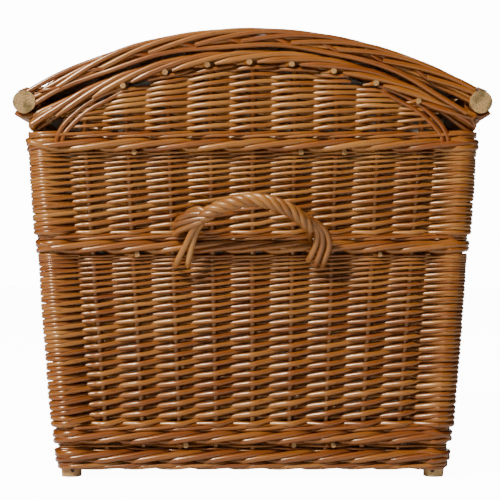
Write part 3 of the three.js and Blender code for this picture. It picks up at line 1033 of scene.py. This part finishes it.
def layLidWeave():
    rng = random.Random(91)
    rods = []
    reach = lidHigh[1] - vault["rodRadius"] - 0.3 * mm
    rows = int(2 * reach / vault["rowPitch"])
    for row in range(rows + 1):
        y = -reach + row * 2 * reach / rows
        sense = 1 if row % 2 else -1
        radius = vault["rodRadius"] * rng.uniform(0.9, 1.06)
        line = []
        for i in range(-18, 19):
            t = i / 4
            wave = math.cos(math.pi * t) * sense * (vault["stakeRadius"] + radius - 0.4 * mm)
            height = vault["stakes"] + wave
            line.append(vaultPoint(t * vault["stakeStep"], height, y + rng.gauss(0, 0.18 * mm)))
        for side in (-1, 1):
            if any(low < y < high for low, high in notches[side]):
                end = [vaultPoint(side * vault["notchAngle"], vault["middle"] - 1 * mm, y)]
            else:
                end = wrapPoints(side, y)
            line = line + end if side > 0 else end[::-1] + line
        rods.append(rod(line, radius, rng.random(), True, True))
    settle(layRods("lidWeave", rods, willow), "lid", "willow_weave", "lid_weave")
    for k in range(9):
        angle = (k - 4) * vault["stakeStep"]
        low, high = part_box(f"lid_stake_{k + 1}")
        line = []
        for i in range(21):
            y = low[1] + (high[1] - low[1]) * i / 20
            line.append(vaultPoint(angle + rng.gauss(0, 0.0012), vault["stakes"], y))
        rods = [rod(line, vault["stakeRadius"], rng.random(), True, True)]
        stake = layRods(f"lidStake{k + 1}", rods, willow)
        settle(stake, "lid", "willow_stakes", f"lid_stake_{k + 1}")


layLidWeave()


def layLidSticks():
    for side, place, seed in ((-1, "front", 3), (1, "back", 4)):
        node = f"lid_{place}_stick"
        rng = random.Random(seed)
        low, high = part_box(node)
        line, radii = [], []
        for i in range(32):
            y = low[1] + (high[1] - low[1]) * i / 31
            x = side * stickX + rng.gauss(0, 0.15 * mm)
            line.append(Vector((x, y, stickZ + rng.gauss(0, 0.15 * mm))))
            radii.append(stickRadius * rng.uniform(0.975, 1.0))
        rods = [rod(line, radii, rng.uniform(0.3, 0.6), True, True)]
        stick = layRods(f"lid{place.title()}Stick", rods, stickWood, 20)
        settle(stick, "lid", "willow_sticks", node)


layLidSticks()

lidBorder = {
    "rodRadius": 2.7 * mm, "tipRing": 413.6 * mm, "topRing": 423.8 * mm, "length": 2.9, "face": 306.6 * mm,
    "endAngle": 0.537, "stubRadius": 2.1 * mm,
    # steps along, ring and distance out in mm
    "stub": [(-0.42, 418.5, 300.5), (-0.2, 416.6, 305), (0.05, 412.8, 305.2), (0.3, 411, 301)],
    # ring, distance out and swing in mm
    "rounds": [(409.9, 306.2, 1.0), (414.6, 303.2, 1.2), (419.3, 302.2, 1.4), (423.6, 303.4, 0.5),
               (411.5, 301.2, 1.0)],
    "roundRadius": 2.6 * mm, "lowestRadius": 2.45 * mm,
}


def lidEndPoint(side, angle, radius, away):
    z = vault["centreZ"] + radius * math.cos(angle)
    return Vector((-side * radius * math.sin(angle), side * away, z))


def lidBorderRods(side, seed):
    rng = random.Random(seed)
    rods = []
    step = vault["stakeStep"]
    for start in range(-4, 5):
        # the stake's own end, turned up and over to the right
        begin = (start - 0.20 + rng.uniform(-0.03, 0.03)) * step
        radius = lidBorder["rodRadius"] * rng.uniform(0.92, 1.06)
        line = []
        for i in range(17):
            u = lidBorder["length"] * i / 16
            angle = begin + u * step
            if angle > lidBorder["endAngle"]:
                break
            share = min(u / 1.9, 1)
            climb = math.sin(share * math.pi / 2) ** 1.15
            ring = lidBorder["tipRing"] + (lidBorder["topRing"] - lidBorder["tipRing"]) * climb
            tuck = max(0, u - 1.9) / (lidBorder["length"] - 1.9)
            away = lidBorder["face"] - 6 * mm * tuck ** 1.5 + rng.gauss(0, 0.1 * mm)
            line.append(lidEndPoint(side, angle, ring, away))
        if len(line) > 3:
            rods.append(rod(line, radius, rng.random(), True, False))
        # the dark stake that comes up between the rods at its left
        angle = start * step - 0.30 * step
        line = []
        for on, ring, out in lidBorder["stub"]:
            line.append(lidEndPoint(side, angle + on * step, ring * mm, out * mm))
        rods.append(rod(smoothLine(line, 3), lidBorder["stubRadius"], rng.uniform(0, 0.15)))
    # the rods that run the whole way round below
    for k, (ring, away, swing) in enumerate(lidBorder["rounds"]):
        line = []
        for i in range(61):
            angle = -0.53 + 1.06 * i / 60
            phase = i * 0.42 + k * 1.9
            drop = max(0, (angle - 0.22) / 0.31) ** 1.3 if k == 0 else 0  # the lowest rod's right end
            ringHere = (ring + math.sin(phase) * swing - 10 * drop) * mm
            out = (away + math.cos(phase) + 4.5 * min(1, 3 * drop)) * mm
            line.append(lidEndPoint(side, angle, ringHere, out))
        rods.append(rod(line, lidBorder["roundRadius" if k else "lowestRadius"], rng.random(), True, True))
    return rods


for side, label in ((-1, "near"), (1, "far")):
    border = layRods(label + "LidBorder", lidBorderRods(side, 101 + side), willow)
    settle(border, "lid", "willow_weave", f"lid_{label}_end_border")
print("the lid is woven")

# hinge eyes, lid loop and front staple in twisted willow

fastening = {
    "eyeRing": 14.4 * mm, "eyeRod": 2.35 * mm, "eyeTurns": 2.96, "eyeFrom": math.radians(-88),
    "legX": 218.4 * mm, "legZ": 336 * mm, "legTop": 33 * mm,
    "loopRod": 1.75 * mm, "loopReach": 48 * mm, "loopTilt": math.radians(12), "loopOffset": 14.7 * mm,
    "loopHalfWidth": 18 * mm, "loopEye": 14.0 * mm,
    "loopShape": [(0, 1), (0.42, 1), (0.8, 0.84), (0.96, 0.45)],  # shares of its reach and half width
    "stapleRod": 1.7 * mm, "stapleHalf": 10 * mm,
}


def ringLine(x, y, z, radius, begin, turns, width, steps=20):
    line = []
    count = int(turns * steps)
    for i in range(count + 1):
        angle = begin + 2 * math.pi * turns * i / count
        along = y + width * (i / count - 0.5)
        line.append(Vector((x + radius * math.cos(angle), along, z + radius * math.sin(angle))))
    return line


def layHingeEyes():
    rng = random.Random(111)
    for k, (low, high) in enumerate(hingeEyes, 1):
        y = (low[1] + high[1]) / 2
        width = high[1] - low[1] - 2 * fastening["eyeRod"]
        ring, begin, turns = fastening["eyeRing"], fastening["eyeFrom"], fastening["eyeTurns"]
        coil = ringLine(stickX, y, stickZ, ring, begin, turns, width)
        legX, legZ = fastening["legX"], fastening["legZ"]
        legs = []
        for end, lean in ((coil[0], mm), (coil[-1], -mm)):
            legs.append([Vector((legX + mm, end.y + lean, low[2] + 2 * mm)), Vector((legX, end.y, legZ)),
                         Vector((end.x, end.y, low[2] + fastening["legTop"]))])
        line = smoothLine([*legs[0], *coil, *legs[1][::-1]], 2)
        rods = [rod(line, fastening["eyeRod"], rng.random(), True, True)]
        settle(layRods(f"hingeEye{k}", rods, ropeWillow), "basket", "willow_rope", f"hinge_eye_{k}")


def layLidLoop():
    rng = random.Random(121)
    sine, cosine = math.sin(fastening["loopTilt"]), math.cos(fastening["loopTilt"])
    offset, half, reach = fastening["loopOffset"], fastening["loopHalfWidth"], fastening["loopReach"]

    def place(along, y):
        x = -stickX - offset * cosine + along * reach * sine
        return Vector((x, y * half, stickZ - offset * sine - along * reach * cosine))

    bow = [place(along, -y) for along, y in fastening["loopShape"]] + [place(1, 0)]
    bow += [place(along, y) for along, y in reversed(fastening["loopShape"])]
    rods = twist(smoothLine(bow, 8), 2, 1.55 * mm, fastening["loopRod"], 9, rng, ends=False)
    for side in (-1, 1):
        eye = ringLine(-stickX, side * half, stickZ, fastening["loopEye"], 0.4, 1.96, 3.4 * mm)
        rods.append(rod(eye, 1.9 * mm, rng.random(), True, True))
    settle(layRods("lidLoop", rods, ropeWillow), "lid_loop", "willow_rope", "lid_loop")


def layStaple():
    rng = random.Random(131)
    low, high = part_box("front_staple")
    middle = (low[2] + high[2]) / 2
    out = low[0] + 3 * mm
    half = fastening["stapleHalf"]
    upper = [(high[0], 1), (out + 9 * mm, 1), (out + 2.5 * mm, 0.65), (out, 0)]
    places = upper + [(x, -up) for x, up in upper[-2::-1]]
    route = smoothLine([Vector((x, 0, middle + half * up)) for x, up in places], 6)
    rods = twist(route, 2, 1.5 * mm, fastening["stapleRod"], 5, rng, ends=False)
    settle(layRods("frontStaple", rods, ropeWillow), "basket", "willow_rope", "front_staple")


layHingeEyes()
layLidLoop()
layStaple()

# roped handles laced round the middle band

# each place is millimetres to the right, up, and out of the wall
handle = {
    "route": [(-47, 249, 19), (-35, 257, 25), (-12, 264.2, 30), (9, 265, 31), (31, 258, 28), (45, 249, 23),
              (55, 240, 17)],
    "strands": 4, "offset": 3.7 * mm, "radius": 3.4 * mm, "turns": -3.1, "phase": 0.6,
    "fanRadii": (3.1 * mm, 2.8 * mm),
    "fans": [
        [(-42, 253, 23), (-50, 257.5, 19), (-59, 255.5, 11), (-63, 252, 1)],
        [(-40, 253, 23), (-56, 252.5, 18), (-68, 249, 10), (-72, 246, 1)],
        [(-40, 250, 22), (-56, 247, 18), (-70, 243.5, 10), (-74, 240.5, 1)],
        [(-42, 248, 21), (-57, 242, 17), (-69, 237.5, 9), (-74, 233.5, 1)],
        [(-45, 248, 18), (-54, 241, 16), (-63, 224, 12), (-70.5, 210, 8), (-73, 204, 1)],
        [(-45, 248, 16), (-52, 238, 13), (-57, 224, 11), (-60.5, 209.5, 8), (-62, 204, 1)],
        [(45, 250, 24), (51, 244, 20), (54.5, 236, 14), (54.5, 230, 3)],
        [(47, 250, 26), (56, 243, 20), (60.3, 236, 14), (60.8, 230, 3)],
        [(50, 248, 22), (60, 238, 17), (60.5, 226, 12), (56, 214.6, 8.5), (53, 209, 2)],
        [(52, 249, 22), (64, 238, 16), (66, 224, 12), (61.8, 210, 8.5), (59.5, 204.5, 2)],
        [(54, 249, 20), (68, 238, 15), (72.5, 224, 11.5), (68.5, 210, 8.5), (66, 204, 2)],
    ],
}


def handlePoint(side, x, z, out):
    face = topHigh[1] - leanY * topHigh[1] * (rimZ - z * mm)
    return Vector((-side * x * mm, side * (face + out * mm), z * mm))


def layHandles():
    for side, end in ((-1, "near"), (1, "far")):
        rng = random.Random(141 + side)
        route = smoothLine([handlePoint(side, *p) for p in handle["route"]], 10)
        rods = twist(route, handle["strands"], handle["offset"], handle["radius"], handle["turns"], rng,
                     phase=handle["phase"])
        for strand in handle["fans"]:
            line = smoothLine([handlePoint(side, *p) for p in strand], 5)
            rods.append(rod(line, tapered(line, *handle["fanRadii"]), rng.random(), False, True))
        roped = layRods(end + "Handle", rods, ropeWillow, 12)
        settle(roped, "basket", "willow_rope", end + "_end_handle")


layHandles()
print("hinges, fastening and handles are roped")

# cotton lining: one laid floor and one sheet hung round the walls

liningCut = {
    "inset": 1.8 * mm, "thickness": 1.2 * mm, "pucker": 1.3 * mm, "corner": 30 * mm, "flapArch": 350 * mm,
    "flapHalf": 187 * mm, "puckers": 19, "finePuckers": 52, "tension": 10,
}


def clothPiece(name, columns, rows, place, flat):
    # a soft panel; place gives each spot on it and the way out, and it puckers a little inwards
    form = bmesh.new()
    bmesh.ops.create_grid(form, x_segments=columns, y_segments=rows, size=0.5, calc_uvs=True)
    uv = form.loops.layers.uv.verify()
    for face in form.faces:
        face.smooth = True
        for loop in face.loops:
            loop[uv].uv = ((loop.vert.co.x + 0.5) * flat[0] * 10, (loop.vert.co.y + 0.5) * flat[1] * 10)
    for vert in form.verts:
        v = vert.co.y + 0.5
        spot, outward = place(vert.co.x + 0.5, v)
        fold = noise.noise(spot * liningCut["puckers"]) + 0.5 * noise.noise(spot * liningCut["finePuckers"])
        slack = min(1, liningCut["tension"] * (1 - v) + 0.15)  # nearly flat along the sewn top edge
        vert.co = spot - outward * (abs(fold) * liningCut["pucker"] * slack + liningCut["thickness"] / 2)
    bmesh.ops.remove_doubles(form, verts=form.verts, dist=0.02 * mm)
    mesh = bpy.data.meshes.new(name)
    form.to_mesh(mesh)
    form.free()
    mesh.materials.append(cotton)
    piece = bpy.data.objects.new(name, mesh)
    bpy.context.scene.collection.objects.link(piece)
    wall = piece.modifiers.new("thickness", "SOLIDIFY")
    wall.thickness = liningCut["thickness"]
    wall.offset = 0
    settle(piece, "basket", "cotton", "cotton_lining")


def roundedPlace(x, y, boxX, boxY, corner):
    # turns a spot on a rectangle into one on the rounded rectangle
    dx, dy = abs(x) - (boxX - corner), abs(y) - (boxY - corner)
    if dx <= 0 or dy <= 0:
        return x, y
    shrink = max(dx, dy) / math.hypot(dx, dy)
    return math.copysign(boxX - corner + dx * shrink, x), math.copysign(boxY - corner + dy * shrink, y)


def layLining():
    low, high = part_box("cotton_lining")
    base, top = low[2] + 0.8 * mm, rimZ - 1 * mm
    topX, topY = high[0] - liningCut["inset"], high[1] - liningCut["inset"]
    corner = liningCut["corner"]
    straightX, straightY = 2 * (topX - corner), 2 * (topY - corner)
    bend = math.pi / 2 * corner
    around = 2 * straightX + 2 * straightY + 4 * bend

    def wall(u, v):
        # along the near end from the left, then anticlockwise seen from above
        run = (u % 1) * around
        for quarter in range(4):
            facing = quarter * math.pi / 2 - math.pi / 2
            straight = straightX if quarter % 2 == 0 else straightY
            if run <= straight:
                out = Vector((math.cos(facing), math.sin(facing)))
                x = (topX if quarter % 2 else run - straight / 2) * (1 if quarter < 2 else -1)
                y = (run - straight / 2 if quarter % 2 else -topY) * (1 if quarter < 2 else -1)
                break
            run -= straight
            if run <= bend:
                angle = facing + run / corner
                out = Vector((math.cos(angle), math.sin(angle)))
                centreX = (topX - corner) * (1 if quarter in (0, 1) else -1)
                centreY = (topY - corner) * (-1 if quarter in (0, 3) else 1)
                x, y = centreX + out.x * corner, centreY + out.y * corner
                break
            run -= bend
        crest = top
        if abs(y) > topY - 6 * mm and abs(x) < liningCut["flapHalf"]:
            crest = max(top, archHeight(abs(x), liningCut["flapArch"]))
        z = base + (crest - base) * v
        x, y = leanIn(x, y, z)
        return Vector((x, y, z)), Vector((out.x, out.y, 0))

    apex = archHeight(0, liningCut["flapArch"]) - base
    clothPiece("wallLining", 220, 26, wall, (around, apex))

    boxX, boxY = leanIn(topX - 2 * mm, topY - 2 * mm, base)

    def floor(u, v):
        x, y = roundedPlace(boxX * (2 * u - 1), boxY * (2 * v - 1), boxX, boxY, corner)
        return Vector((x, y, base + 0.2 * mm)), Vector((0, 0, -1))

    clothPiece("floorLining", 40, 60, floor, (2 * boxX, 2 * boxY))


layLining()
print("the lining is hung")
